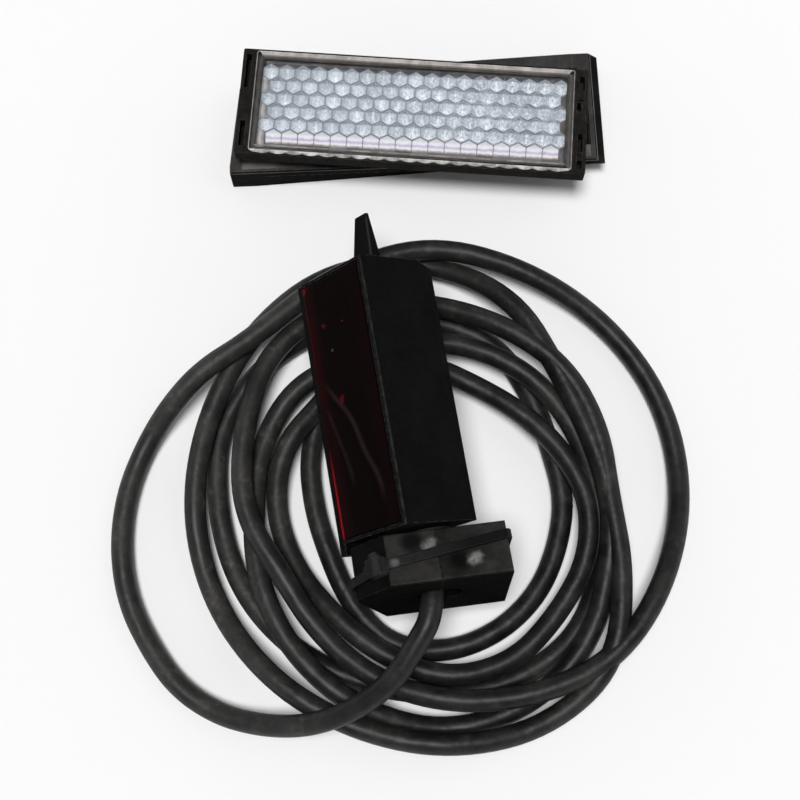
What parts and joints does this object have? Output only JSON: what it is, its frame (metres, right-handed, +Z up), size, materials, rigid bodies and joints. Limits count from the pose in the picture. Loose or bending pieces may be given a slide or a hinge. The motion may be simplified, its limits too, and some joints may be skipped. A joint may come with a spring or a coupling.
{
  "type": "reflective photocell",
  "caption": "Retro-reflective photocell set: a black sensor head with a red window on a coiled cable with a split ferrite core, and a prism reflector in its holder.",
  "frame": {"origin": "middle of the reflector base's mounting side, on the surface that everything lies on", "axes": "+X along the reflector base, +Y from the sensor towards the reflector, +Z up"},
  "size_m": [0.1628, 0.2015, 0.0504],
  "materials": {
    "housing_plastic": "satin moulded plastic, scuffed",
    "window_red": "polished dark red filter",
    "seal_rubber": "soft black rubber",
    "optics_plastic": "matte black",
    "lens_clear": "polished",
    "board_green": "varnished board",
    "emitter_red": "clear red resin",
    "diode_dark": "dark filter resin",
    "status_amber": "clear amber resin",
    "chip_black": "moulded package",
    "capacitor_can": "satin can",
    "terminal_plastic": "moulded plastic",
    "conductor_sleeve": "thin sleeve",
    "ferrite_grey": "pressed ferrite, ground faces",
    "tie_nylon": "black nylon",
    "cable_jacket": "satin jacket",
    "prism_clear": "clear moulded acrylic",
    "holder_plastic": "satin moulded plastic",
    "base_plastic": "satin moulded plastic"
  },
  "bodies": {
    "root": {"housing": "housing_plastic", "side_cover": "housing_plastic", "window": "window_red", "window_seal": "seal_rubber", "cable_grommet": "seal_rubber", "optics_block": "optics_plastic", "emitter_lens": "lens_clear", "receiver_lens": "lens_clear", "circuit_board": "board_green", "emitter_led": "emitter_red", "receiver_diode": "diode_dark", "status_led": "status_amber", "control_chip": "chip_black", "capacitor": "capacitor_can", "terminal_block": "terminal_plastic", "conductors": "conductor_sleeve", "ferrite_half_left": "ferrite_grey", "ferrite_half_right": "ferrite_grey", "cable_tie": "tie_nylon", "cable_lead": "cable_jacket", "cable_coil": "cable_jacket", "reflector_prism": "prism_clear", "reflector_holder": "holder_plastic", "reflector_base": "base_plastic"}
  },
  "joints": []
}
